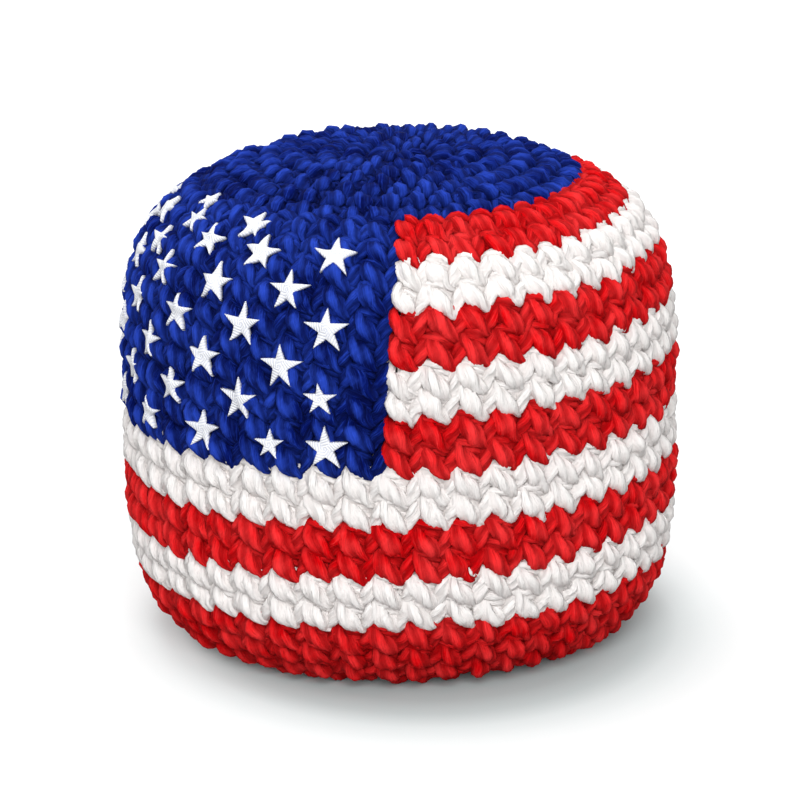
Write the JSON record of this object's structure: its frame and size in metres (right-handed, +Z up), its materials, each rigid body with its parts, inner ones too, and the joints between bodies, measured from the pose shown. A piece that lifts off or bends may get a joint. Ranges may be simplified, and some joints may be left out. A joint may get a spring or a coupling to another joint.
{
  "type": "footbag",
  "caption": "Crocheted footbag with a blue crown, a star field and red and white stripes, standing on its flattened base.",
  "frame": {"origin": "centre of the flattened base, on the surface that the bag stands on", "axes": "+Z up through the crown, -Y out of the front that the picture shows, with the star field on the left"},
  "size_m": [0.06, 0.06, 0.053],
  "materials": {
    "blue_yarn": "matte cotton yarn, single crochet",
    "red_yarn": "matte cotton yarn, single crochet",
    "white_yarn": "matte cotton yarn, single crochet",
    "star_thread": "flat satin thread",
    "liner_cloth": "thin woven cloth",
    "pellets": "loose smooth pellets",
    "tie_thread": "twisted thread"
  },
  "bodies": {
    "root": {"base": "red_yarn", "crown": "blue_yarn", "star_field": "blue_yarn", "red_stripe_1": "red_yarn", "red_stripe_2": "red_yarn", "red_stripe_3": "red_yarn", "red_stripe_4": "red_yarn", "red_stripe_5": "red_yarn", "white_stripe_1": "white_yarn", "white_stripe_2": "white_yarn", "white_stripe_3": "white_yarn", "white_stripe_4": "white_yarn", "star_01": "star_thread", "star_02": "star_thread", "star_03": "star_thread", "star_04": "star_thread", "star_05": "star_thread", "star_06": "star_thread", "star_07": "star_thread", "star_08": "star_thread", "star_09": "star_thread", "star_10": "star_thread", "star_11": "star_thread", "star_12": "star_thread", "star_13": "star_thread", "star_14": "star_thread", "star_15": "star_thread", "star_16": "star_thread", "star_17": "star_thread", "star_18": "star_thread", "star_19": "star_thread", "star_20": "star_thread", "star_21": "star_thread", "star_22": "star_thread", "star_23": "star_thread", "star_24": "star_thread", "star_25": "star_thread", "star_26": "star_thread", "star_27": "star_thread", "star_28": "star_thread", "star_29": "star_thread", "star_30": "star_thread", "star_31": "star_thread", "star_32": "star_thread", "star_33": "star_thread", "star_34": "star_thread", "star_35": "star_thread", "star_36": "star_thread", "star_37": "star_thread", "star_38": "star_thread", "star_39": "star_thread", "liner": "liner_cloth", "pellet_fill": "pellets", "liner_tie": "tie_thread", "closing_tail": "blue_yarn"}
  },
  "joints": []
}
